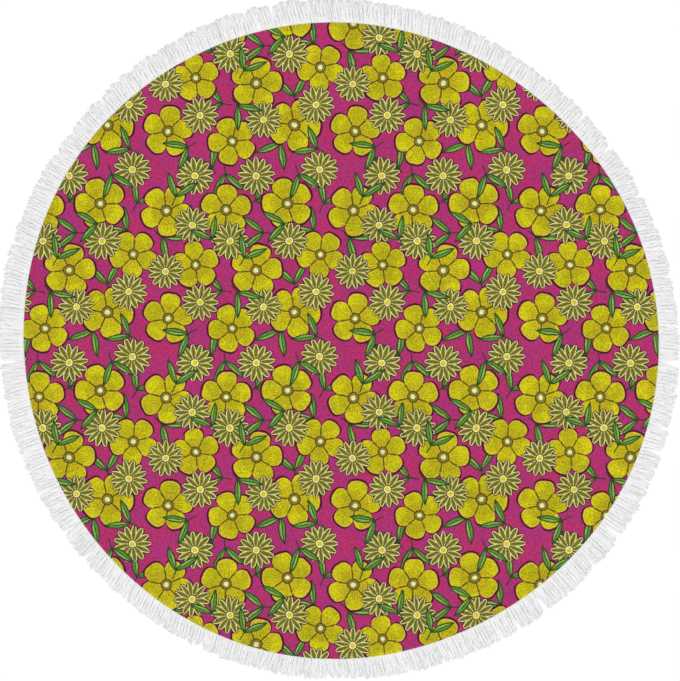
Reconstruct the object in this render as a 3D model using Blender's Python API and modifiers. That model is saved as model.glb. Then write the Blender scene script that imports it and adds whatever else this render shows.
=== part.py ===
"""Round beach towel with a cut yarn fringe, lying flat on a floor.

Blender 4.5, in metres, +Z up. The origin is the middle of the towel's underside.
Two sewn pieces: the cloth, and one long fringe whose woven heading tape is stitched
under the cloth's hem all the way round.
"""

import math
import random

import bmesh
import bpy

# Driving sizes
OVERALL_DIAMETER = 1.524  # 60 inches, over the fringe
FRINGE_LENGTH = 0.050  # how far the yarns show past the cloth
CLOTH_THICKNESS = 0.0025
TAPE_THICKNESS = 0.0010
TAPE_WIDTH = 0.012  # the part of the tape under the hem
TAPE_SHOWS = 0.0010  # the part of the tape past the cloth's edge
SEWN_CLEARANCE = 0.0003  # between the tape and the hem
HEM_SLOPE = 0.004  # where the cloth climbs on to the tape
EDGE_ROUNDING = 0.0007

CLOTH_RADIUS = OVERALL_DIAMETER / 2 - FRINGE_LENGTH
TIP_RADIUS = OVERALL_DIAMETER / 2
TAPE_INNER_RADIUS = CLOTH_RADIUS - TAPE_WIDTH
TAPE_OUTER_RADIUS = CLOTH_RADIUS + TAPE_SHOWS
HEM_LIFT = TAPE_THICKNESS + SEWN_CLEARANCE
SLOPE_TOP_RADIUS = TAPE_INNER_RADIUS - SEWN_CLEARANCE
SLOPE_FOOT_RADIUS = SLOPE_TOP_RADIUS - HEM_SLOPE

CLOTH_SIDES = 180  # straight sides round the cloth's edge

# Locks of the fringe, each a bunch of yarns with a flat foot on the floor
LOCKS = 288
ROOT_GAP = 0.0012  # between two locks where they leave the tape
TIP_GAP = 0.0022  # between two tips that haven't parted
TIP_SWAY = 0.0006  # how far such a gap strays to one side
SWELL_PAST_EDGE = 0.009  # from the cloth's edge to a lock's fullest place
SWELL_HEIGHT = 0.0030
TIP_HEIGHT = 0.0018
CROWN_SHARE = 0.72  # a lock's top width as a share of its foot's
CUT_UNEVENNESS = 0.0026  # how much longer or shorter a lock was cut
SEED = 7

# How the cloth's edge leaves a true circle:
# crests round the edge, their height, where the first crest is in degrees
CLOTH_WANDER = (
    (2, 0.0043, 134.0),
    (3, 0.0043, 2.3),
    (4, 0.0019, 80.2),
    (6, 0.0008, 26.5),
)

# The same for the fringe's cut ends
FRINGE_WANDER = (
    (1, 0.0017, 163.0),
    (2, 0.0074, 135.5),
    (3, 0.0028, 98.0),
    (4, 0.0020, 89.2),
    (5, 0.0012, 26.2),
)

# Where the fringe has parted: degrees round the edge, width between the tips
PARTINGS = (
    (11.0, 0.006),
    (25.7, 0.009),
    (35.5, 0.010),
    (42.5, 0.005),
    (75.5, 0.006),
    (101.7, 0.008),
    (106.2, 0.004),
    (134.7, 0.007),
    (142.2, 0.005),
    (146.5, 0.006),
    (163.2, 0.007),
    (183.7, 0.009),
    (190.5, 0.005),
    (196.5, 0.004),
    (207.2, 0.005),
    (215.0, 0.008),
    (220.5, 0.007),
    (245.5, 0.006),
    (258.2, 0.004),
    (268.0, 0.005),
    (288.0, 0.005),
    (298.7, 0.006),
    (302.0, 0.009),
    (307.5, 0.013),
    (318.5, 0.007),
    (325.0, 0.014),
    (340.5, 0.011),
    (344.7, 0.006),
    (356.0, 0.017),
)

SHARP_EDGE = math.radians(30)

PRINT_COLOUR = (0.456, 0.024, 0.216, 1.0)
YARN_COLOUR = (0.82, 0.82, 0.83, 1.0)
COTTON_ROUGHNESS = 0.95


def wander(table, angle):
    """How far outside its mean circle an edge is at this angle."""
    return sum(
        height * math.cos(crests * (angle - math.radians(first)))
        for crests, height, first in table
    )


def on_circle(radius, angle, height):
    return (radius * math.cos(angle), radius * math.sin(angle), height)


def make_collection(name):
    collection = bpy.data.collections.new(name)
    bpy.context.scene.collection.children.link(collection)
    return collection


def make_material(name, colour):
    material = bpy.data.materials.new(name)
    material.use_nodes = True
    shader = material.node_tree.nodes["Principled BSDF"]
    shader.inputs["Base Color"].default_value = colour
    shader.inputs["Roughness"].default_value = COTTON_ROUGHNESS
    shader.inputs["Metallic"].default_value = 0.0
    return material


def make_object(mesh, material, collection):
    mesh.materials.append(material)
    mesh.shade_smooth()
    mesh.set_sharp_from_angle(angle=SHARP_EDGE)
    collection.objects.link(bpy.data.objects.new(mesh.name, mesh))


def cloth_section():
    """The cloth's section from the middle of its face, round the turned edge, to the middle of its back."""
    face = CLOTH_THICKNESS
    hem_face = CLOTH_THICKNESS + HEM_LIFT
    rounding_starts = CLOTH_RADIUS - EDGE_ROUNDING
    return (
        (0.0, face),
        (SLOPE_FOOT_RADIUS, face),
        (SLOPE_TOP_RADIUS, hem_face),
        (rounding_starts, hem_face),
        (CLOTH_RADIUS, hem_face - EDGE_ROUNDING),
        (CLOTH_RADIUS, HEM_LIFT + EDGE_ROUNDING),
        (rounding_starts, HEM_LIFT),
        (SLOPE_TOP_RADIUS, HEM_LIFT),
        (SLOPE_FOOT_RADIUS, 0.0),
        (0.0, 0.0),
    )


def turn(name, section, sides):
    """A closed mesh turned about Z from a section that starts and ends on the axis."""
    line = bpy.data.meshes.new("section")
    points = [(radius, 0.0, height) for radius, height in section]
    line.from_pydata(points, [(i, i + 1) for i in range(len(points) - 1)], [])
    blank = bpy.data.objects.new("blank", line)
    bpy.context.scene.collection.objects.link(blank)
    screw = blank.modifiers.new("turning", "SCREW")
    screw.steps = sides
    screw.render_steps = sides
    screw.use_merge_vertices = True
    screw.merge_threshold = 0.0001
    bpy.context.view_layer.update()
    turned = blank.evaluated_get(bpy.context.evaluated_depsgraph_get())
    mesh = bpy.data.meshes.new_from_object(turned)
    mesh.name = name
    bpy.data.objects.remove(blank)
    return mesh


def make_cloth_mesh():
    """The disc of cloth: its edge strays from a circle as it was cut, and its hem rides on the tape."""
    mesh = turn("printed_cloth", cloth_section(), CLOTH_SIDES)
    for vertex in mesh.vertices:
        radius = math.hypot(vertex.co.x, vertex.co.y)
        if radius > EDGE_ROUNDING:
            angle = math.atan2(vertex.co.y, vertex.co.x)
            radius += wander(CLOTH_WANDER, angle)
            vertex.co = on_circle(radius, angle, vertex.co.z)
    return mesh


def make_tape(form):
    """Turns the heading tape and gives it one wide and one narrow side for each lock."""
    corners = [
        form.verts.new((radius, 0.0, height))
        for radius, height in (
            (TAPE_INNER_RADIUS, 0.0),
            (TAPE_OUTER_RADIUS, 0.0),
            (TAPE_OUTER_RADIUS, TAPE_THICKNESS),
            (TAPE_INNER_RADIUS, TAPE_THICKNESS),
        )
    ]
    edges = [form.edges.new((corners[i - 1], corners[i])) for i in range(len(corners))]
    bmesh.ops.spin(
        form,
        geom=corners + edges,
        axis=(0.0, 0.0, 1.0),
        angle=math.tau,
        steps=2 * LOCKS,
        use_merge=True,
    )
    pitch = math.tau / LOCKS
    half_lock = (pitch - ROOT_GAP / TAPE_OUTER_RADIUS) / 2
    for vert in form.verts:
        stop = round(math.atan2(vert.co.y, vert.co.x) / (pitch / 2)) % (2 * LOCKS)
        lock, is_far_side = divmod(stop, 2)
        angle = (lock + 0.5) * pitch + (half_lock if is_far_side else -half_lock)
        radius = math.hypot(vert.co.x, vert.co.y) + wander(CLOTH_WANDER, angle)
        vert.co = on_circle(radius, angle, vert.co.z)
    bmesh.ops.recalc_face_normals(form, faces=form.faces)


def find_roots(form):
    """The tape's wide outer sides, by the number of the lock that grows from each."""
    roots = {}
    for face in form.faces:
        middle = face.calc_center_median()
        faces_out = face.normal.dot(middle.normalized()) > 0.9
        is_wide = max(edge.calc_length() for edge in face.edges) > 2 * ROOT_GAP
        if faces_out and is_wide:
            angle = math.atan2(middle.y, middle.x) % math.tau
            roots[int(angle / math.tau * LOCKS)] = face
    return roots


def spread_gaps(chance):
    """The gaps between the tips, from the first parting all the way round to it again.

    Each has a middle and half a width, both angles. Between two partings they are evenly spread.
    """
    pitch = math.tau / LOCKS
    partings = [
        (round(math.radians(degrees) / pitch), math.radians(degrees), width)
        for degrees, width in PARTINGS
    ]
    first_lock, first_angle, first_width = partings[0]
    partings.append((first_lock + LOCKS, first_angle + math.tau, first_width))
    gaps = {lock: (angle, width / TIP_RADIUS / 2) for lock, angle, width in partings}
    for (lock, start, _), (next_lock, end, _) in zip(partings, partings[1:]):
        for number in range(lock + 1, next_lock):
            share = (number - lock) / (next_lock - lock)
            sway = chance.uniform(-1, 1) * TIP_SWAY / TIP_RADIUS
            gaps[number] = (start + (end - start) * share + sway, TIP_GAP / TIP_RADIUS / 2)
    return gaps


def move_end(face, radius, near, far, height):
    """Moves a lock's end face. Its foot stays on the floor and its crown is narrower."""
    middle = face.calc_center_median()
    half_angle = (far - near) / 2
    for vert in face.verts:
        is_crown = vert.co.z > middle.z
        is_far_side = middle.x * vert.co.y > middle.y * vert.co.x
        reach = half_angle * (CROWN_SHARE if is_crown else 1.0)
        angle = (near + far) / 2 + (reach if is_far_side else -reach)
        vert.co = on_circle(radius, angle, height if is_crown else 0.0)


def make_fringe_mesh():
    """The heading tape with its locks, one body because the yarns are woven into the tape."""
    form = bmesh.new()
    make_tape(form)
    roots = find_roots(form)
    chance = random.Random(SEED)
    gaps = spread_gaps(chance)
    pitch = math.tau / LOCKS
    half_root_gap = ROOT_GAP / CLOTH_RADIUS / 2
    for lock in sorted(gaps)[:-1]:
        near, far = lock * pitch + half_root_gap, (lock + 1) * pitch - half_root_gap
        middle = (near + far) / 2
        swell_radius = CLOTH_RADIUS + SWELL_PAST_EDGE + wander(CLOTH_WANDER, middle)
        tip_radius = TIP_RADIUS + wander(FRINGE_WANDER, middle) + chance.uniform(-1, 1) * CUT_UNEVENNESS
        tip_near = gaps[lock][0] + gaps[lock][1]
        tip_far = gaps[lock + 1][0] - gaps[lock + 1][1]
        face = roots[lock % LOCKS]
        for end in (
            (swell_radius, near, far, SWELL_HEIGHT),
            (tip_radius, tip_near, tip_far, TIP_HEIGHT),
        ):
            face = bmesh.ops.extrude_discrete_faces(form, faces=[face])["faces"][0]
            move_end(face, *end)
    mesh = bpy.data.meshes.new("yarn_fringe")
    form.to_mesh(mesh)
    form.free()
    return mesh


for thing in list(bpy.data.objects):
    bpy.data.objects.remove(thing)

towel = make_collection("round_beach_towel")
make_object(make_cloth_mesh(), make_material("printed_towelling", PRINT_COLOUR), towel)
make_object(make_fringe_mesh(), make_material("cotton_yarn", YARN_COLOUR), towel)
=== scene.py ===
# %% [markdown]
# # A round beach towel with a cut yarn fringe
#
# The towel lies flat on a white table and is seen from straight above. It is two sewn pieces: a disc
# of printed velour towelling, and one long fringe of soft cotton yarn whose woven tape is stitched
# under the disc's hem. The CAD solids are the frame, so each piece here lies where its solid lies.

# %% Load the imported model
import math
import random
from functools import partial

import bmesh
import bpy
import numpy as np
from mathutils import Matrix, Vector, noise


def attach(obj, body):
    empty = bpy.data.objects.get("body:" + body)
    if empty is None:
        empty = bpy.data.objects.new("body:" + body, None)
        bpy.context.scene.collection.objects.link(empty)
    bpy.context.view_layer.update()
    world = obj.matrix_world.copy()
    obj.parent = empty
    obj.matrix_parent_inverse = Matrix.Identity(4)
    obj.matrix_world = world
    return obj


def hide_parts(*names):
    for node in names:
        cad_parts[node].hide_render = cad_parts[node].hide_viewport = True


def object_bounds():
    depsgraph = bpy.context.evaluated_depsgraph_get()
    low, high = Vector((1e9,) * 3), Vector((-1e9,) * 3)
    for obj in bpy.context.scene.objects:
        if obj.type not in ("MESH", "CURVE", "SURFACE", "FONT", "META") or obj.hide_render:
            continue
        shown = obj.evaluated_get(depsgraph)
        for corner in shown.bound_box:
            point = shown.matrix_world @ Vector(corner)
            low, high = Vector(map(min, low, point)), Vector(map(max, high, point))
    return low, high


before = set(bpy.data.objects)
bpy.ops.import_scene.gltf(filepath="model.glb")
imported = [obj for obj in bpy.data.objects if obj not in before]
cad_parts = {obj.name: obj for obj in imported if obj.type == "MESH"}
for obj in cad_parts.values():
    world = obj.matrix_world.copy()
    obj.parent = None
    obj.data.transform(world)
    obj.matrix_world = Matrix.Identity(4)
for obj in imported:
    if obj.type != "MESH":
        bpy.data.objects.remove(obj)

cad_low, cad_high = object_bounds()
print("CAD box in mm:", [round(1000 * side, 1) for side in cad_high - cad_low])

# %% [markdown]
# ## Reading the solids
#
# A hand-cut disc isn't a true circle, and a fringe parts where its yarns were bent in the packet.
# Both are already in the solids, so they are read from there and not drawn a second time. The rim
# is the farthest corner of the cloth in each direction. Each lock of the solid fringe has two
# corners of its tip on the table, and they lie equally far out.

# %% The edge of the cloth in every direction
CLOTH_RADIUS = 0.712


def read_rim(solid):
    """Directions round a disc, in radians, and how far its edge reaches in each."""
    reach = {}
    for corner in solid.data.vertices:
        direction = round(math.atan2(corner.co.y, corner.co.x), 4)
        distance = math.hypot(corner.co.x, corner.co.y)
        reach[direction] = max(reach.get(direction, 0.0), distance)
    directions = sorted(reach)
    return directions, [reach[direction] for direction in directions]


rim_directions, rim_distances = read_rim(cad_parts["printed_cloth"])


def cloth_edge(direction):
    return float(np.interp(direction, rim_directions, rim_distances, period=math.tau))


print("directions read:", len(rim_directions))
print("the edge lies", min(rim_distances), "to", max(rim_distances), "m out")

# %% The tips of the solid locks
TIPS_START = 0.745  # no other corner of the solid fringe is as far out
ON_THE_TABLE = 0.0001  # a corner lower than this lies on it
EQUALLY_FAR = 0.00002  # the two corners of one tip differ by less


def read_lock_tips(solid):
    """Each lock's tip as two directions, near and far, and how far out it is."""
    feet = set()
    for corner in solid.data.vertices:
        distance = math.hypot(corner.co.x, corner.co.y)
        if distance > TIPS_START and corner.co.z < ON_THE_TABLE:
            direction = math.atan2(corner.co.y, corner.co.x) % math.tau
            feet.add((round(direction, 6), round(distance, 5)))
    feet = sorted(feet)
    if abs(feet[0][1] - feet[1][1]) > EQUALLY_FAR:
        first_direction, first_distance = feet.pop(0)
        feet.append((first_direction + math.tau, first_distance))
    return [(near[0], far[0], far[1]) for near, far in zip(feet[::2], feet[1::2])]


lock_tips = read_lock_tips(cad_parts["yarn_fringe"])
print("locks:", len(lock_tips))

# %% [markdown]
# ## Helpers for every material
#
# Colours are picked as sRGB hex codes, as on a shade card, and Blender mixes light in linear values.
# One helper adds any node: it sets the node's properties and fills its sockets in order, with a link
# where it is given another node's output.

# %% Hex codes to linear colours
def linear(code):
    channels = [int(code[i:i + 2], 16) / 255 for i in (1, 3, 5)]
    curve = [c / 12.92 if c <= 0.04045 else ((c + 0.055) / 1.055) ** 2.4 for c in channels]
    return (*curve, 1.0)


print("mid grey is", [round(c, 3) for c in linear("#808080")])

# %% One helper for all nodes
def add_node(tree, kind, *values, out=0, sockets=(), **settings):
    """Adds a node and gives back one of its outputs."""
    node = tree.nodes.new("ShaderNode" + kind)
    for name, value in settings.items():
        setattr(node, name, value)
    filled = list(zip([socket for socket in node.inputs if socket.enabled], values))
    filled += [(node.inputs[name], value) for name, value in dict(sockets).items()]
    for socket, value in filled:
        if isinstance(value, bpy.types.NodeSocket):
            tree.links.new(value, socket)
        else:
            socket.default_value = value
    outputs = [socket for socket in node.outputs if socket.enabled]
    return outputs[out] if outputs else None


def start_material(name):
    material = bpy.data.materials.new(name)
    material.use_nodes = True
    material.node_tree.nodes.clear()
    return material, partial(add_node, material.node_tree)


# %% One helper for all meshes
def finish_piece(name, form, *materials):
    """Makes a smooth-shaded object of a bmesh, at the origin."""
    mesh = bpy.data.meshes.new(name)
    form.to_mesh(mesh)
    form.free()
    mesh.shade_smooth()
    for material in materials:
        mesh.materials.append(material)
    piece = bpy.data.objects.new(name, mesh)
    bpy.context.scene.collection.objects.link(piece)
    triangles = sum(len(face.vertices) - 2 for face in mesh.polygons)
    print(name, "has", triangles, "triangles")
    return piece


# %% [markdown]
# ## The camera, the table and the light
#
# The towel was photographed from straight above its middle, far enough away that the near and the
# far side look the same size. One pixel of the picture is 2.24 mm of cloth, which sets the height
# of an 85 mm lens. The picture is as bright as its white table, so the light is a white surround
# with a soft lamp at each side, as on a copying stand: the yarns get shadows, the table has none.

# %% Camera
PICTURE_SIDE = 681  # pixels
METRES_PER_PIXEL = 1.524 / 679
MIDDLE_LEFT_OF_CENTRE = 0.65  # pixels, from the picture's centre to the towel's middle

lens = bpy.data.cameras.new("copy_stand_camera")
lens.lens = 85.0
camera = bpy.data.objects.new("copy_stand_camera", lens)
bpy.context.scene.collection.objects.link(camera)
camera_height = lens.lens / lens.sensor_width * PICTURE_SIDE * METRES_PER_PIXEL
camera.location = (MIDDLE_LEFT_OF_CENTRE * METRES_PER_PIXEL, 0.0, camera_height + cad_high.z)
bpy.context.scene.camera = camera
bpy.context.scene.view_settings.view_transform = "Standard"
print("camera height:", round(camera_height, 3), "m")

# %% Table
TABLE_GRAIN = 0.0025
TABLE_REACH = 80.0  # so wide that its far edge is close to the horizon in a low view
BELOW_TOWEL = 0.0002  # so that no face shares a plane with the towel's back

matt_white_table, put = start_material("matt_white_table")
speckle = put("TexNoise", put("TexCoord", out=3), 1 / TABLE_GRAIN, 2.0)
table_colour = put("Mix", speckle, linear("#F8F8F8"), linear("#F6F6F6"), data_type="RGBA")
put("OutputMaterial", put("BsdfPrincipled", sockets={"Base Color": table_colour, "Roughness": 1.0}))

form = bmesh.new()
just_below = Matrix.Translation((0.0, 0.0, -BELOW_TOWEL))
bmesh.ops.create_grid(form, x_segments=1, y_segments=1, size=TABLE_REACH, matrix=just_below)
table = finish_piece("table_top", form, matt_white_table)

# %% Light
SURROUND_STRENGTH = 0.895
LAMP_STRENGTH = 0.53
LAMP_WIDTH = math.radians(50)  # seen from the towel: the wider, the softer its shadows
LAMP_TURN = math.radians(50)  # from overhead, to the left or the right
LAMP_LEAN = math.radians(18)  # from overhead, to the foot of the picture

surround = bpy.data.worlds.new("white_surround")
surround.use_nodes = True
surround.node_tree.nodes["Background"].inputs["Color"].default_value = (1.0, 1.0, 1.0, 1.0)
surround.node_tree.nodes["Background"].inputs["Strength"].default_value = SURROUND_STRENGTH
bpy.context.scene.world = surround

for side, turn in (("left", -LAMP_TURN), ("right", LAMP_TURN)):
    lamp = bpy.data.lights.new(side + "_soft_lamp", "SUN")
    lamp.energy = LAMP_STRENGTH
    lamp.angle = LAMP_WIDTH
    holder = bpy.data.objects.new(lamp.name, lamp)
    holder.rotation_euler = (LAMP_LEAN, turn, 0.0)
    bpy.context.scene.collection.objects.link(holder)

# %% [markdown]
# ## The print
#
# Printed towelling is white cloth whose cut pile takes its dyes screen by screen, in a pattern that
# repeats. This one repeats every 420 mm: yellow blossoms, cream and olive daisies and green leaves,
# outlined in dark ink over a mottled magenta ground. It could be painted from an image, but drawn
# with nodes it stays sharp at any distance and needs no file.
#
# Each kind of flower is drawn once. The pattern finds the nearest place where that kind grows,
# moves and turns the cloth's coordinates there, and the one drawing does for all its copies. The
# repeat comes from wrapping the coordinates round each place.

# %% Inks
MAGENTA = linear("#A82C69")
VIOLET = linear("#92327A")
ROSE = linear("#B92C50")
LEMON = linear("#CCC40A")
LEMON_SHADE = linear("#B2AB07")
LEMON_STIPPLE = linear("#88820F")
GOLD_RIM = linear("#D9B048")
CREAM = linear("#E9DA9A")
OLIVE = linear("#767822")
DARK_OLIVE = linear("#34370F")
MAROON_LINE = linear("#400F1F")
AMBER = linear("#D2A41C")
LEAF = linear("#588A36")
LEAF_LIGHT = linear("#8BAD4E")
LEAF_LINE = linear("#18351B")
print("the ground's ink, linear:", [round(c, 3) for c in MAGENTA])

# %% Where the flowers and leaves grow in one repeat
REPEAT = 0.42

# Each row: x and y in mm, turn in degrees, radius in mm
BLOSSOMS = (
    (38, 52, 10, 60), (182, 30, 40, 57), (322, 66, 65, 62), (100, 172, 25, 56), (236, 160, 5, 62),
    (380, 196, 50, 57), (34, 294, 60, 61), (168, 296, 15, 60), (306, 310, 35, 61),
)
DAISIES = (
    (110, 88, 0, 41), (252, 78, 9, 40), (370, 112, 20, 41), (32, 158, 5, 40), (177, 226, 12, 42),
    (310, 226, 3, 42), (92, 262, 17, 40), (236, 372, 8, 42), (98, 372, 14, 42), (378, 386, 1, 42),
)
UNDER_SPRIGS = (
    (40, 222, 230, 60), (140, 118, 80, 58), (318, 150, 10, 58), (232, 244, 90, 58),
    (280, 8, 150, 60), (126, 408, 30, 60), (252, 326, 300, 58), (398, 328, 330, 58),
    (170, 358, 190, 56), (352, 262, 45, 56),
)
TOP_SPRIGS = (
    (66, 8, 120, 56), (206, 96, 220, 56), (356, 22, 60, 55), (62, 344, 340, 56), (280, 262, 100, 55),
    (128, 246, 30, 52), (338, 358, 200, 56), (218, 204, 330, 54),
)
print("motifs in a repeat:", len(BLOSSOMS + DAISIES + UNDER_SPRIGS + TOP_SPRIGS))


# %% Coordinates round the nearest place
def nearest_of(put, plan, places):
    """The plan's coordinates seen from the nearest place, turned with it, in units of its radius."""
    nearest = None
    for x, y, turn, radius in places:
        x, y, radius = x / 1000, y / 1000, radius / 1000
        highest = (x + REPEAT / 2, y + REPEAT / 2, 1.0)
        lowest = (x - REPEAT / 2, y - REPEAT / 2, -1.0)
        copy = put("VectorMath", plan, highest, lowest, operation="WRAP")
        turned = (0.0, 0.0, math.radians(turn))
        local = put("Mapping", copy, (x, y, 0.0), turned, (radius, radius, 1.0), vector_type="TEXTURE")
        reach = put("VectorMath", local, operation="LENGTH")
        if nearest is None:
            nearest, best = local, reach
        else:
            is_closer = put("Math", reach, best, operation="LESS_THAN")
            nearest = put("Mix", is_closer, nearest, local, data_type="VECTOR")
            best = put("Math", reach, best, operation="MINIMUM")
    return nearest


# %% Inking one shape over another
INK_BLEED = 0.012  # how far an ink's edge is soft, in units of a motif's radius


def ink_over(put, below, ink, depth, edge=0.0):
    """Prints an ink wherever depth is above edge."""
    cover = put("MapRange", depth, edge - INK_BLEED, edge + INK_BLEED)
    return put("Mix", cover, below, ink, data_type="RGBA")


def petal_coordinates(put, local, petals):
    """Distance from a flower's middle, and the angle from the nearest petal's own axis."""
    x = put("SeparateXYZ", local)
    angle = put("Math", x.node.outputs["Y"], x, operation="ARCTAN2")
    half = math.pi / petals
    from_axis = put("Math", angle, half, -half, operation="WRAP")
    return put("VectorMath", local, operation="LENGTH"), from_axis


# %% [markdown]
# A blossom has five broad petals with a notch between each two. The edge is the distance at which
# the petal ends in each direction, so edge minus distance is the depth inside the outline. The same
# depth then gives the dark line, the golden rim inside it and the yellow body.

# %% Blossoms, in units of a blossom's radius
BLOSSOM_PETALS = 5
PETAL_END = 0.93
NOTCH_DEPTH = 0.36
NOTCH_POWER = 3.4  # the higher, the broader the petals and the narrower the notches
BLOSSOM_OUTLINE = 0.080
GOLD_WIDTH = 0.035
AMBER_STARTS, AMBER_IS_FULL, AMBER_SHARE = 0.62, 0.22, 0.45
VEIN_TURNS = 34.0  # so many radians of ripple to a radian of petal
VEIN_STEEPNESS, VEIN_THINNING = 0.05, 0.035  # only the ripple's crests are veins
VEIN_REACH = 0.55
CREASE_WIDTH = 0.020  # to each side of the line where two petals meet
CREASE_MARGIN = 0.02
BLOSSOM_EYE = ((0.22, MAROON_LINE), (0.185, OLIVE), (0.09, CREAM))


def print_blossoms(put, below, local, stipple, wash):
    half = math.pi / BLOSSOM_PETALS
    reach, from_axis = petal_coordinates(put, local, BLOSSOM_PETALS)
    aside = put("Math", from_axis, operation="ABSOLUTE")
    share_aside = put("Math", aside, 1 / half, operation="MULTIPLY")
    notch = put("Math", share_aside, NOTCH_POWER, operation="POWER")
    edge = put("Math", notch, -NOTCH_DEPTH, PETAL_END, operation="MULTIPLY_ADD")
    depth = put("Math", edge, reach, operation="SUBTRACT")
    colour = ink_over(put, below, MAROON_LINE, depth, -BLOSSOM_OUTLINE)
    colour = ink_over(put, colour, GOLD_RIM, depth)
    petal = put("Mix", wash, LEMON, LEMON_SHADE, data_type="RGBA")
    towards_middle = put("MapRange", reach, AMBER_STARTS, AMBER_IS_FULL, 0.0, AMBER_SHARE)
    petal = put("Mix", towards_middle, petal, AMBER, data_type="RGBA")
    petal = put("Mix", stipple, petal, LEMON_STIPPLE, data_type="RGBA")
    colour = ink_over(put, colour, petal, depth, GOLD_WIDTH)

    ripple = put("Math", put("Math", from_axis, VEIN_TURNS, operation="MULTIPLY"), operation="COSINE")
    vein = put("Math", ripple, VEIN_STEEPNESS, -VEIN_THINNING, operation="MULTIPLY_ADD")
    near_middle = put("Math", VEIN_REACH, reach, operation="SUBTRACT")
    vein = put("Math", vein, near_middle, operation="MINIMUM")
    colour = ink_over(put, colour, LEMON_STIPPLE, vein)

    turn_from_crease = put("Math", half, aside, operation="SUBTRACT")
    from_crease = put("Math", turn_from_crease, reach, operation="MULTIPLY")
    crease = put("Math", CREASE_WIDTH, from_crease, operation="SUBTRACT")
    inside = put("Math", depth, CREASE_MARGIN, operation="SUBTRACT")
    colour = ink_over(put, colour, DARK_OLIVE, put("Math", crease, inside, operation="MINIMUM"))
    for distance, ink in BLOSSOM_EYE:
        colour = ink_over(put, colour, ink, put("Math", distance, reach, operation="SUBTRACT"))
    return colour


# %% [markdown]
# A daisy has thirteen narrow petals, each an ellipse that points outwards: a cream rim round an
# olive body with a dark rib. Between them the gaps are dark as far as the petals touch.

# %% Daisies, in units of a daisy's radius
DAISY_PETALS = 13
PETAL_MIDDLE = 0.60
PETAL_HALF_LENGTH = 0.41
PETAL_HALF_WIDTH = 0.150
DAISY_OUTLINE = 0.062
DARK_BETWEEN_PETALS = 0.86
CREAM_WIDTH = 0.042
PETAL_RIB = 0.014  # to each side of a petal's axis
RIB_MARGIN = 0.02
DAISY_EYE = ((0.25, DARK_OLIVE), (0.20, CREAM), (0.13, LEMON))


def print_daisies(put, below, local):
    reach, from_axis = petal_coordinates(put, local, DAISY_PETALS)
    along = put("Math", put("Math", from_axis, operation="COSINE"), reach, operation="MULTIPLY")
    across = put("Math", put("Math", from_axis, operation="SINE"), reach, operation="MULTIPLY")
    aside = put("Math", across, operation="ABSOLUTE")
    to_place = (1 / PETAL_HALF_LENGTH, -PETAL_MIDDLE / PETAL_HALF_LENGTH)
    place = put("Math", along, *to_place, operation="MULTIPLY_ADD")
    room = put("Math", 1.0, put("Math", place, place, operation="MULTIPLY"), operation="SUBTRACT")
    width = put("Math", put("Math", room, operation="SQRT"), PETAL_HALF_WIDTH, operation="MULTIPLY")
    no_room = put("Math", room, 0.0, operation="MINIMUM")
    past_tip = put("Math", no_room, PETAL_HALF_LENGTH / 2, operation="MULTIPLY")
    depth = put("Math", put("Math", width, aside, operation="SUBTRACT"), past_tip, operation="ADD")
    colour = ink_over(put, below, MAROON_LINE, depth, -DAISY_OUTLINE)
    gaps = put("Math", DARK_BETWEEN_PETALS, reach, operation="SUBTRACT")
    colour = ink_over(put, colour, DARK_OLIVE, gaps)
    colour = ink_over(put, colour, CREAM, depth)
    colour = ink_over(put, colour, OLIVE, depth, CREAM_WIDTH)
    rib = put("Math", PETAL_RIB, aside, operation="SUBTRACT")
    inside = put("Math", depth, RIB_MARGIN, operation="SUBTRACT")
    colour = ink_over(put, colour, DARK_OLIVE, put("Math", rib, inside, operation="MINIMUM"))
    for distance, ink in DAISY_EYE:
        colour = ink_over(put, colour, ink, put("Math", distance, reach, operation="SUBTRACT"))
    return colour


# %% [markdown]
# A sprig is a pair of leaves on a short stem. Folding the plane along the stem draws both leaves at
# once. Each has a dark outline and midrib, and one half catches more light than the other. The
# leaves meet a little below the sprig's middle, so that a circle round it holds all of it and no
# neighbour cuts it off.

# %% Leaf sprigs, in units of a sprig's radius
LEAF_LEAN = math.radians(38)  # from the stem
LEAVES_MEET = 0.35  # below the sprig's middle
LEAF_FULLNESS = 0.46  # a quarter of it is half a leaf's width
STEM_HALF_WIDTH = 0.024
STEM_HALF_LENGTH = 0.22
STEM_MIDDLE = 0.16  # below the place where the leaves meet
LEAF_OUTLINE = 0.035
LEAF_MARGIN = 0.012
LIT_MARGIN = 0.03
LIT_FROM_RIB = 0.02
LEAF_RIB = 0.016  # to each side of a leaf's axis
LEAF_RIB_MARGIN = 0.01


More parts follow.
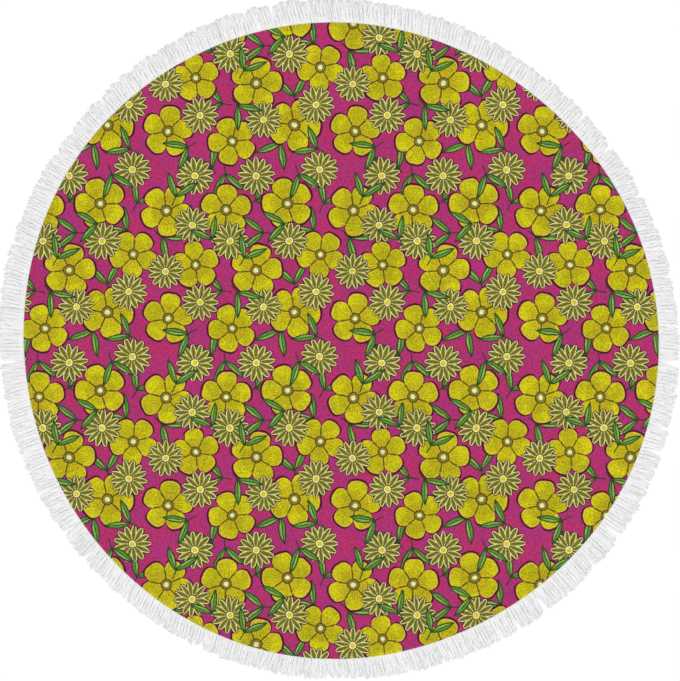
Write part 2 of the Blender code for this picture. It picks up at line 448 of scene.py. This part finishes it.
def print_sprigs(put, below, local):
    x = put("SeparateXYZ", local)
    y = put("Math", x.node.outputs["Y"], LEAVES_MEET, operation="ADD")
    out = put("Math", x, operation="ABSOLUTE")
    up_along = put("Math", y, math.cos(LEAF_LEAN), operation="MULTIPLY")
    along = put("Math", out, math.sin(LEAF_LEAN), up_along, operation="MULTIPLY_ADD")
    up_across = put("Math", y, math.sin(LEAF_LEAN), operation="MULTIPLY")
    across = put("Math", out, -math.cos(LEAF_LEAN), up_across, operation="MULTIPLY_ADD")
    aside = put("Math", across, operation="ABSOLUTE")
    ahead = put("Math", 1.0, along, operation="SUBTRACT")
    arch = put("Math", along, ahead, operation="MULTIPLY")
    half_leaf = put("Math", arch, LEAF_FULLNESS, operation="MULTIPLY")
    depth = put("Math", half_leaf, aside, operation="SUBTRACT")

    from_stem = put("Math", STEM_HALF_WIDTH, out, operation="SUBTRACT")
    up_stem = put("Math", y, STEM_MIDDLE, operation="ADD")
    from_stem_middle = put("Math", up_stem, operation="ABSOLUTE")
    from_stem_end = put("Math", STEM_HALF_LENGTH, from_stem_middle, operation="SUBTRACT")
    stem = put("Math", from_stem, from_stem_end, operation="MINIMUM")
    colour = ink_over(put, below, LEAF_LINE, stem)
    colour = ink_over(put, colour, LEAF_LINE, depth, -LEAF_OUTLINE)
    colour = ink_over(put, colour, LEAF, depth, LEAF_MARGIN)
    deep = put("Math", depth, LIT_MARGIN, operation="SUBTRACT")
    lit_half = put("Math", across, LIT_FROM_RIB, operation="SUBTRACT")
    colour = ink_over(put, colour, LEAF_LIGHT, put("Math", deep, lit_half, operation="MINIMUM"))
    rib = put("Math", LEAF_RIB, aside, operation="SUBTRACT")
    inside = put("Math", depth, LEAF_RIB_MARGIN, operation="SUBTRACT")
    return ink_over(put, colour, LEAF_LINE, put("Math", inside, rib, operation="MINIMUM"))


# %% [markdown]
# ## Printed velour towelling
#
# The loops of the face are sheared, so it is a dense upright pile of cotton: quite matt and a little
# paler at a glancing look. Its colour has painted shade in the hollows between tufts and between
# clumps of them, and painted light and shade in patches where the pile leans. The tufts are 1.2 mm
# apart, and the noise that draws them has finer fibres in it. The dyes creep along the pile, so the
# cloth's coordinates are pushed about by a millimetre or two before anything is drawn: the lines get
# a hand-inked wobble.

# %% Material of the face
CLOTH_PLAN = "cloth_plan"
WOBBLE_WIDTH = 0.030
WOBBLE = 0.005  # the noise's whole range, of which it mostly uses the middle
WASH_WIDTH = 0.045  # of a patch of deeper or paler ink in the ground and the petals
EVEN_GROUND = 0.70  # how much of one plain ink lies over the ground's patches
DOT_SPACING = 0.0042
CROWD_WIDTH = 0.030  # of a patch in which the dots are larger
DOT_SIZE = 0.46  # in units of their spacing, at the most
TUFT_SPACING = 0.0012
TUFT_CLUMP = 0.005  # of tufts that cling together after a wash, coarse enough that the painted shade between clumps shows from afar
PILE_LEAN_WIDTH = 0.13  # of a patch in which the pile leans one way, drawn lighter or darker with painted sheen and shade
PILE_DEPTH = 0.0008

printed_velour, put = start_material("printed_cotton_velour")
plan = put("UVMap", uv_map=CLOTH_PLAN)
wobble = put("TexNoise", plan, 1 / WOBBLE_WIDTH, 4.0, 0.6, out=1, noise_dimensions="2D")
inked_plan = put("VectorMath", wobble, (WOBBLE, WOBBLE, 0.0), plan, operation="MULTIPLY_ADD")

patches = put("TexNoise", plan, 1 / WASH_WIDTH, 3.0, noise_dimensions="2D")
wash = put("MapRange", patches, 0.35, 0.65)
ground = put("Mix", wash, VIOLET, ROSE, data_type="RGBA")
ground = put("Mix", EVEN_GROUND, ground, MAGENTA, data_type="RGBA")

dots = put("TexVoronoi", plan, 1 / DOT_SPACING, voronoi_dimensions="2D")
crowding = put("TexNoise", plan, 1 / CROWD_WIDTH, 1.0, noise_dimensions="2D")
dot_size = put("Math", crowding, DOT_SIZE, operation="MULTIPLY")
dot = put("Math", dot_size, dots, operation="SUBTRACT")
stipple = put("MapRange", dot, -0.05, 0.10, 0.0, 0.7)

colour = print_sprigs(put, ground, nearest_of(put, inked_plan, UNDER_SPRIGS))
colour = print_blossoms(put, colour, nearest_of(put, inked_plan, BLOSSOMS), stipple, wash)
colour = print_daisies(put, colour, nearest_of(put, inked_plan, DAISIES))
colour = print_sprigs(put, colour, nearest_of(put, inked_plan, TOP_SPRIGS))

tufts = put("TexNoise", plan, 1 / TUFT_SPACING, 4.0, 0.7, noise_dimensions="2D")
clumps = put("TexNoise", plan, 1 / TUFT_CLUMP, 2.0, noise_dimensions="2D")
lean = put("TexNoise", plan, 1 / PILE_LEAN_WIDTH, 1.0, noise_dimensions="2D")
# painted shade: the colour is darker where tufts and their clumps are low, in the hollows of the bump,
# and lighter on their tops
tuft_hollow_shade = put("MapRange", tufts, 0.3, 0.7, 0.86, 1.08)
clump_hollow_shade = put("MapRange", clumps, 0.3, 0.7, 0.80, 1.20)
# painted sheen and shade: patches where the pile leans one way are a little lighter or darker
lean_light_and_shade = put("MapRange", lean, 0.3, 0.7, 0.97, 1.03)
pile_light_and_shade = put("Math", tuft_hollow_shade, clump_hollow_shade, operation="MULTIPLY")
pile_light_and_shade = put("Math", pile_light_and_shade, lean_light_and_shade, operation="MULTIPLY")
# the pile's painted light and shade darken or lighten the printed colour
colour = put("VectorMath", colour, pile_light_and_shade, operation="SCALE")
pile_relief = put("Bump", 0.9, PILE_DEPTH, 1.0, put("Math", tufts, clumps, operation="ADD"))
pile = put("BsdfPrincipled", sockets={
    "Base Color": colour, "Roughness": 0.92, "Normal": pile_relief,
    "Specular IOR Level": 0.18, "Sheen Weight": 0.06, "Sheen Roughness": 0.5,
})
put("OutputMaterial", pile)
print("nodes in the print:", len(printed_velour.node_tree.nodes))

# %% [markdown]
# ## White terry back
#
# The back keeps its loops and takes no dye. Loops stand in rows about 2 mm apart, so the bump is a
# lattice of round heads, and the hollows between them get painted shade: a darker colour.

# %% Material of the back
LOOP_SPACING = 0.002
LOOP_DEPTH = 0.0008

white_terry, put = start_material("white_cotton_terry")
plan = put("UVMap", uv_map=CLOTH_PLAN)
loops = put("TexVoronoi", plan, 1 / LOOP_SPACING, sockets={"Randomness": 0.45}, voronoi_dimensions="2D")
# painted shade: darker away from each loop's head, in the hollows between loops
loop_hollow_shade = put("MapRange", loops, 0.1, 0.8)
terry_colour = put("Mix", loop_hollow_shade, linear("#F3F1EC"), linear("#D9D5CC"), data_type="RGBA")
loop_relief = put("Bump", 0.8, LOOP_DEPTH, 1.0, loops, invert=True)
terry = put("BsdfPrincipled", sockets={
    "Base Color": terry_colour, "Roughness": 0.95, "Normal": loop_relief,
    "Specular IOR Level": 0.2, "Sheen Weight": 0.1,
})
put("OutputMaterial", terry)

# %% [markdown]
# ## The cloth
#
# A disc of thick cloth could be a circle with a Solidify modifier, but its edge is a hem with a
# shape of its own: it climbs on to the fringe's tape and is as round as the cloth is thick. So the
# section from the middle of the face, round the edge, to the middle of the back is drawn once and
# spun a full turn. Afterwards each corner is moved out or in with the rim that was read above.
# The section's length, measured along the cloth, is kept with each point: it becomes the
# cloth's flat plan, on which the print lies without stretching.

# %% The section
CLOTH_THICKNESS = 0.0025
HEM_LIFT = 0.0013
SLOPE_TOP_RADIUS = 0.6997
SLOPE_FOOT_RADIUS = 0.6957
STITCH_LINE_SHARE = 0.30  # of the hem's width, from its inner side
# Share of the hem's width, and mm above or below its edges: full, but drawn in by its stitches
HEM_FORM = (
    (0.10, 0.12), (0.20, 0.08), (STITCH_LINE_SHARE, -0.35), (0.40, 0.12), (0.58, 0.28),
    (0.76, 0.28), (0.90, 0.14),
)
HEM_WIDTH = CLOTH_RADIUS - CLOTH_THICKNESS / 2 - SLOPE_TOP_RADIUS
FACE_RINGS = 56
SLOPE_RINGS = 4
EDGE_RINGS = 8
BACK_RINGS = 14


def smooth_step(share):
    return share * share * (3 - 2 * share)


def cloth_section():
    """Points (radius, height) from the middle of the face to the middle of the back."""
    half = CLOTH_THICKNESS / 2
    points = [(SLOPE_FOOT_RADIUS * i / FACE_RINGS, CLOTH_THICKNESS) for i in range(FACE_RINGS + 1)]
    slope = [i / SLOPE_RINGS for i in range(1, SLOPE_RINGS + 1)]
    climb = [
        (SLOPE_FOOT_RADIUS + (SLOPE_TOP_RADIUS - SLOPE_FOOT_RADIUS) * s, HEM_LIFT * smooth_step(s))
        for s in slope
    ]
    points += [(radius, CLOTH_THICKNESS + lift) for radius, lift in climb]
    for share, fullness in HEM_FORM:
        height = CLOTH_THICKNESS + HEM_LIFT + fullness / 1000
        points.append((SLOPE_TOP_RADIUS + HEM_WIDTH * share, height))
    for step in range(EDGE_RINGS + 1):
        angle = math.pi * (0.5 - step / EDGE_RINGS)
        radius = CLOTH_RADIUS - half + half * math.cos(angle)
        points.append((radius, HEM_LIFT + half + half * math.sin(angle)))
    points += [(radius, lift) for radius, lift in reversed(climb)]
    points += [(SLOPE_FOOT_RADIUS * (1 - i / BACK_RINGS), 0.0) for i in range(BACK_RINGS + 1)]
    return points


print("points in the section:", len(cloth_section()))

# %% Spinning it
CLOTH_SIDES = 360
RELIEF_HEIGHT = 0.0012  # of the gentle waves of cloth that was folded in its packet
RELIEF_WIDTH = 0.12
RELIEF_FADES = 0.04  # from the hem, which its stitches hold flat


def make_cloth_form():
    form = bmesh.new()
    along = form.verts.layers.float.new("along")
    line = []
    for radius, height in cloth_section():
        point = form.verts.new((radius, 0.0, height))
        if line:
            point[along] = line[-1][along] + (point.co - line[-1].co).length
        line.append(point)
    edges = [form.edges.new(pair) for pair in zip(line, line[1:])]
    last = line[-1][along]
    bmesh.ops.spin(
        form, geom=line + edges, axis=(0.0, 0.0, 1.0), cent=(0.0, 0.0, 0.0),
        angle=math.tau, steps=CLOTH_SIDES, use_merge=True,
    )
    bmesh.ops.remove_doubles(form, verts=form.verts, dist=0.000001)
    bmesh.ops.recalc_face_normals(form, faces=form.faces)
    print("section length:", round(last, 4), "m")
    return form, along


def fit_cloth(form, along):
    """Moves the disc's edge to the rim, lays the flat plan on it and raises its gentle waves."""
    plan = form.loops.layers.uv.new(CLOTH_PLAN)
    stretch = {}
    for point in form.verts:
        direction = math.atan2(point.co.y, point.co.x)
        stretch[point] = cloth_edge(direction) / CLOTH_RADIUS
        flat = Vector((math.cos(direction), math.sin(direction))) * point[along] * stretch[point]
        for corner in point.link_loops:
            corner[plan].uv = flat
    for point, share in stretch.items():
        from_hem = SLOPE_FOOT_RADIUS - point[along]
        point.co.x *= share
        point.co.y *= share
        if from_hem > 0:
            wave = 0.5 + 0.5 * noise.noise(Vector((point.co.x, point.co.y, 0.0)) / RELIEF_WIDTH)
            point.co.z += RELIEF_HEIGHT * wave * smooth_step(min(1.0, from_hem / RELIEF_FADES))


form, along = make_cloth_form()
fit_cloth(form, along)

# %% The print ends where the turned hem does
EDGE_ALONG = SLOPE_FOOT_RADIUS + 0.0174  # along the cloth, to the outermost line of its edge
TURNED_HEM = 0.0170  # how much of the printed face is turned under

for face in form.faces:
    starts_at = min(corner.vert[along] for corner in face.loops)
    face.material_index = 1 if starts_at > EDGE_ALONG + TURNED_HEM else 0
cloth = finish_piece("printed_round_cloth", form, printed_velour, white_terry)

# %% [markdown]
# ## Stitches of the hem
#
# One row of lockstitch runs right round and holds both the turned hem and the fringe's tape. The
# thread is dyed like the ground, so that it hardly shows. A Curve could follow the row, but a
# machine's stitches are single short arcs that dip into the cloth at each needle hole. So one small
# round body is stretched to a stitch, and a copy of it is laid at each place.

# %% Sewing thread
STRAND_WIDTH = 0.0003
STRAND_DEPTH = 0.0001

sewing_thread, put = start_material("polyester_sewing_thread")
strands = put("TexNoise", put("TexCoord", out=3), 1 / STRAND_WIDTH, 1.0)
thread_colour = put("Mix", strands, linear("#98265E"), linear("#B23472"), data_type="RGBA")
strand_relief = put("Bump", 0.4, STRAND_DEPTH, 1.0, strands)
thread = put("BsdfPrincipled", sockets={
    "Base Color": thread_colour, "Roughness": 0.55, "Normal": strand_relief,
})
put("OutputMaterial", thread)

# %% A row of stitches
STITCHES = 1240
STITCH_LENGTH = 0.0035
THREAD_THICKNESS = 0.00045
STITCH_SINKS = 0.00025  # below the hem's edges, into the groove that it draws

stitch_radius = SLOPE_TOP_RADIUS + STITCH_LINE_SHARE * HEM_WIDTH
stitch_height = CLOTH_THICKNESS + HEM_LIFT - STITCH_SINKS


def make_stitches():
    """One stretched round body, moved to each place in turn and added there."""
    body = bmesh.new()
    slim = Matrix.Diagonal((THREAD_THICKNESS, STITCH_LENGTH, THREAD_THICKNESS, 1.0))
    bmesh.ops.create_uvsphere(body, u_segments=6, v_segments=4, radius=0.5, matrix=slim)
    stitch = bpy.data.meshes.new("stitch")
    body.to_mesh(stitch)
    body.free()
    form = bmesh.new()
    for number in range(STITCHES):
        direction = math.tau * (number + 0.5) / STITCHES
        distance = stitch_radius * cloth_edge(direction) / CLOTH_RADIUS
        place = Matrix.Rotation(direction, 4, "Z") @ Matrix.Translation((distance, 0.0, stitch_height))
        stitch.transform(place)
        form.from_mesh(stitch)
        stitch.transform(place.inverted())
    bpy.data.meshes.remove(stitch)
    return form


stitches = finish_piece("hem_stitches", make_stitches(), sewing_thread)

# %% [markdown]
# ## The fringe
#
# Cut fringe is soft cotton yarn woven into a narrow tape at one end and free at the other. The
# yarns stay in the bunches in which the loom left them, so a fringe looks like a row of locks with
# thin gaps, and its cut ends are ragged. A hair system could grow it, but it would not be a mesh in
# the export. Here each yarn starts as a small square at the tape, and all the squares are extruded
# together, section by section, moved along their yarns and turned by the yarn's twist.

# %% Cotton yarn
FRINGE_PLAN = "fringe_plan"
YARN_TONE = "yarn_tone"
FIBRE_WIDTH = 0.0004
FIBRE_LENGTH = 0.005
FIBRE_TONE = 0.35  # how much the fibres add to a yarn's own tone
TWIST_ALONG = 0.0030  # along a yarn, from one ply to the next, coarse enough to show close to
TWIST_ACROSS = 0.0022
GROOVE_SHADE = 0.91  # painted shade: how dark the colour is in the groove between two plies
GROOVE_DEPTH = 0.0003

cotton_yarn, put = start_material("bleached_cotton_yarn")
plan = put("UVMap", uv_map=FRINGE_PLAN)
fibres_a_metre = (1 / FIBRE_WIDTH, 1 / FIBRE_LENGTH, 1)
long_plan = put("Mapping", plan, (0, 0, 0), (0, 0, 0), fibres_a_metre)
fibres = put("TexNoise", long_plan, 1.0, 2.0)
tone = put("Attribute", out=2, attribute_name=YARN_TONE)
tone = put("Math", fibres, FIBRE_TONE, tone, operation="MULTIPLY_ADD")
yarn_colour = put("Mix", tone, linear("#EAEAEA"), linear("#F8F8F8"), data_type="RGBA")
radians_a_metre = (math.tau / TWIST_ACROSS, math.tau / TWIST_ALONG, 0.0)
turns = put("VectorMath", plan, radians_a_metre, operation="DOT_PRODUCT")
plies = put("Math", turns, operation="SINE")
# painted shade in the grooves between the plies, where the twist's bump is low
groove_painted_shade = put("MapRange", plies, -1.0, 0.0, GROOVE_SHADE, 1.0)
yarn_colour = put("VectorMath", yarn_colour, groove_painted_shade, operation="SCALE")
twist = put("Math", plies, 0.5, fibres, operation="MULTIPLY_ADD")
fibre_relief = put("Bump", 0.8, GROOVE_DEPTH, 1.0, twist)
yarn = put("BsdfPrincipled", sockets={
    "Base Color": yarn_colour, "Roughness": 0.95, "Normal": fibre_relief,
    "Specular IOR Level": 0.2, "Sheen Weight": 0.15,
})
put("OutputMaterial", yarn)

# %% [markdown]
# The heading is a flat woven tape, 13 mm wide, that holds the yarns' roots under the hem. Nearly all
# of it is hidden, so it needs no weave of its own. Its section has eight corners, so that none of
# them is sharp, and it is spun a full turn as the cloth was.

# %% Heading tape
TAPE_INNER = -0.012  # from the cloth's edge
TAPE_OUTER = 0.001
TAPE_THICKNESS = 0.001
TAPE_CORNER = 0.0003  # how wide a corner's slope is
TAPE_SIDE_LOW, TAPE_SIDE_HIGH = 0.0002, 0.0008


def make_tape_form():
    """A flat woven tape, spun in a full turn and moved to the cloth's edge."""
    form = bmesh.new()
    flat_starts = TAPE_INNER + TAPE_CORNER
    flat_ends = TAPE_OUTER - TAPE_CORNER
    corners = [
        form.verts.new((CLOTH_RADIUS + out, 0.0, height))
        for out, height in (
            (TAPE_INNER, TAPE_SIDE_LOW), (flat_starts, 0.0), (flat_ends, 0.0),
            (TAPE_OUTER, TAPE_SIDE_LOW), (TAPE_OUTER, TAPE_SIDE_HIGH), (flat_ends, TAPE_THICKNESS),
            (flat_starts, TAPE_THICKNESS), (TAPE_INNER, TAPE_SIDE_HIGH),
        )
    ]
    edges = [form.edges.new((corners[i - 1], corners[i])) for i in range(len(corners))]
    bmesh.ops.spin(
        form, geom=corners + edges, axis=(0.0, 0.0, 1.0), cent=(0.0, 0.0, 0.0),
        angle=math.tau, steps=CLOTH_SIDES, use_merge=True,
    )
    bmesh.ops.recalc_face_normals(form, faces=form.faces)
    plan = form.loops.layers.uv.new(FRINGE_PLAN)
    for point in form.verts:
        direction = math.atan2(point.co.y, point.co.x)
        distance = math.hypot(point.co.x, point.co.y) + cloth_edge(direction) - CLOTH_RADIUS
        for corner in point.link_loops:
            corner[plan].uv = (direction * CLOTH_RADIUS, distance)
        point.co.x = distance * math.cos(direction)
        point.co.y = distance * math.sin(direction)
    return form


heading_tape = finish_piece("fringe_heading_tape", make_tape_form(), cotton_yarn)

# %% [markdown]
# The yarns are planned as numbers before any of them is drawn. Each lock of the solid fringe is two
# bunches of 16 yarns. A yarn leaves the tape at an even place and ends at its lock's tip, so the
# fringe parts where the solid one does. Its length, its crimp and its place in the bunch are drawn
# by chance, from a fixed seed, so that every run gives the same fringe.

# %% How a lock of yarns lies
BUNCHES_IN_A_LOCK = 2
YARNS_IN_A_BUNCH = 16
ROOT_INSIDE = 0.003  # how far under the hem a yarn starts
YARN_SIDES = 4
TURN_BETWEEN_SECTIONS = math.radians(55)  # the twist that a yarn was spun with
SECTIONS = (0.0, 0.07, 0.18, 0.30, 0.42, 0.54, 0.66, 0.78, 0.91, 1.0)  # shares of a yarn's length
YARN_RADII = (0.60, 0.66, 0.72, 0.74, 0.74, 0.73, 0.71, 0.68, 0.60, 0.40)  # mm at each section
BUNCH_HEIGHTS = (0.5, 1.1, 1.6, 1.7, 1.7, 1.6, 1.4, 1.2, 0.9, 0.7)  # mm, of a bunch's middle
LAYERS = 3
LAYER_GAP = 0.0006
GATHER = 0.13  # how much narrower a bunch can be half way
BOW = 0.0010  # how far to a side it can bend there
TIP_STRAY = 0.0006  # how far to a side its tip can be
CUT_STRAY = 0.0015  # how much longer or shorter it can be
CUT_SHORT = 0.010  # how much shorter one of its yarns can be
CUT_LONG = 0.0026  # and how much longer
KEPT_PLACE = 0.65  # how much of its own place across the bunch a yarn keeps at its tip
MOVED_PLACE = 0.45  # how far it can move from there, in half widths of the bunch
STRAY_SHARE = 0.12  # of the yarns, which have left their bunch
STRAY_PLACE = 1.1  # how much further these can move
CRIMP = (0.0002, 0.0007)  # of one yarn, to each side
CRIMP_WAVES = (0.8, 2.2)  # in its length
ROUNDED_END = 0.0016  # how much shorter a bunch's outer yarns are
WIDE_PARTING = 0.004
PARTING_REACH = 0.011  # how far from a wide parting yarns are worn short
PARTING_WEAR = 0.0055
SEED = 11


def wide_partings():
    """The directions of both sides of each wide gap between two tips."""
    sides = []
    for number, (near, _, distance) in enumerate(lock_tips):
        last_far = lock_tips[number - 1][1] - (0 if number else math.tau)
        if (near - last_far) * distance > WIDE_PARTING:
            sides += [last_far, near]
    return np.array(sides)


parting_sides = wide_partings()
print("wide partings:", len(parting_sides) // 2)


def worn_short(direction):
    """How much shorter a yarn is because its tip is beside a wide parting."""
    turn = np.abs((parting_sides - direction + math.pi) % math.tau - math.pi)
    closeness = max(0.0, 1 - float(turn.min()) * CLOTH_RADIUS / PARTING_REACH)
    return PARTING_WEAR * closeness ** 2


def plan_yarns():
    """Every yarn as a list of sections: direction, distance, height and radius."""
    chance = random.Random(SEED)
    locks = len(lock_tips)
    pitch = math.tau / locks
    middles = [(near + far) / 2 for near, far, _ in lock_tips]
    ahead = sum(middle / pitch - number - 0.5 for number, middle in enumerate(middles)) / locks
    bunch_pitch = pitch / BUNCHES_IN_A_LOCK
    yarns = []
    for number, (near, far, tip_distance) in enumerate(lock_tips):
        for bunch in range(BUNCHES_IN_A_LOCK):
            share = (bunch + 0.5) / BUNCHES_IN_A_LOCK
            root = (number + round(ahead) + share) * pitch
            tip = near + (far - near) * share
            tip += chance.uniform(-1, 1) * TIP_STRAY / tip_distance
            half_tip = (far - near) / BUNCHES_IN_A_LOCK / 2
            bunch_tip = tip_distance + chance.uniform(-CUT_STRAY, CUT_STRAY)
            bunch_tone = chance.uniform(0.0, 0.5)
            bow = chance.uniform(-BOW, BOW)
            gather = chance.uniform(-0.3, 1.0) * GATHER
            for place in range(YARNS_IN_A_BUNCH):
                across = 2 * (place + chance.uniform(0.1, 0.9)) / YARNS_IN_A_BUNCH - 1
                across_tip = KEPT_PLACE * across + chance.uniform(-MOVED_PLACE, MOVED_PLACE)
                if chance.random() < STRAY_SHARE:
                    across_tip += chance.uniform(-STRAY_PLACE, STRAY_PLACE)
                layer = place % LAYERS - 1
                cut_short = chance.uniform(0.0, 1.0) ** 2 * CUT_SHORT
                length = bunch_tip - cut_short + chance.uniform(0, CUT_LONG)
                length -= ROUNDED_END * across ** 2 + worn_short(tip + across * half_tip)
                crimp = chance.uniform(*CRIMP)
                waves = chance.uniform(*CRIMP_WAVES)
                phase = chance.uniform(0, math.tau)
                start = cloth_edge(root) - ROOT_INSIDE
                sections = []
                for step, share_out in enumerate(SECTIONS):
                    distance = start + (length - start) * share_out
                    centre = root + (tip - root) * smooth_step(share_out)
                    half = bunch_pitch / 2 + (half_tip - bunch_pitch / 2) * share_out
                    half *= 1 - gather * math.sin(math.pi * share_out)
                    side = across + (across_tip - across) * share_out
                    turn = math.tau * waves * share_out + phase
                    wave = crimp * math.sin(turn) * min(1, 3 * share_out)
                    wave += bow * math.sin(math.pi * share_out)
                    direction = centre + side * half + wave / distance
                    radius = YARN_RADII[step] / 1000
                    height = BUNCH_HEIGHTS[step] / 1000 + layer * LAYER_GAP * min(1, 4 * share_out)
                    sections.append((direction, distance, max(height, radius), radius))
                yarns.append((sections, bunch_tone + chance.uniform(0.0, 0.5)))
    return yarns


yarns = plan_yarns()
print("yarns:", len(yarns))


# %% Growing the yarns
def on_circle(direction, distance, height):
    return Vector((distance * math.cos(direction), distance * math.sin(direction), height))


def grow_yarns(yarns):
    """One bmesh of many yarns: squares at the tape, extruded together section by section."""
    form = bmesh.new()
    number_of = form.faces.layers.int.new("yarn")
    tone_of = form.verts.layers.float.new(YARN_TONE)
    for number, (sections, tone) in enumerate(yarns):
        direction, distance, height, radius = sections[0]
        upright = Matrix.Rotation(direction, 4, "Z") @ Matrix.Rotation(math.radians(90), 4, "Y")
        place = Matrix.Translation(on_circle(direction, distance, height)) @ upright
        made = bmesh.ops.create_circle(
            form, cap_ends=True, segments=YARN_SIDES, radius=radius, matrix=place,
        )
        made["verts"][0].link_faces[0][number_of] = number
        for point in made["verts"]:
            point[tone_of] = tone
    ends = list(form.faces)
    for step in range(1, len(SECTIONS)):
        ends = bmesh.ops.extrude_discrete_faces(form, faces=ends)["faces"]
        for face in ends:
            sections, _ = yarns[face[number_of]]
            old, new = sections[step - 1], sections[step]
            old_middle, new_middle = on_circle(*old[:3]), on_circle(*new[:3])
            axis = on_circle(new[0], 1.0, 0.0)
            twist_and_taper = Matrix.Rotation(TURN_BETWEEN_SECTIONS, 3, axis) * (new[3] / old[3])
            for point in face.verts:
                point.co = new_middle + twist_and_taper @ (point.co - old_middle)
    bmesh.ops.holes_fill(form, edges=form.edges, sides=YARN_SIDES)
    bmesh.ops.recalc_face_normals(form, faces=form.faces)
    plan = form.loops.layers.uv.new(FRINGE_PLAN)
    for point in form.verts:
        direction = math.atan2(point.co.y, point.co.x)
        flat = (direction * CLOTH_RADIUS, math.hypot(point.co.x, point.co.y))
        for corner in point.link_loops:
            corner[plan].uv = flat
    return form


QUARTERS = ("first", "second", "third", "fourth")
yarns_in_a_quarter = len(yarns) // len(QUARTERS)
fringe = [heading_tape]
for number, name in enumerate(QUARTERS):
    some = yarns[number * yarns_in_a_quarter:(number + 1) * yarns_in_a_quarter]
    fringe.append(finish_piece(name + "_quarter_of_yarns", grow_yarns(some), cotton_yarn))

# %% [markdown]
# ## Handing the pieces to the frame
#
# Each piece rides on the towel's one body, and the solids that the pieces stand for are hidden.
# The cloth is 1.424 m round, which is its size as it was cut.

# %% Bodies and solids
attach(cloth, "root")
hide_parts("printed_cloth")
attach(stitches, "root")
for piece in fringe:
    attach(piece, "root")
    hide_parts("yarn_fringe")
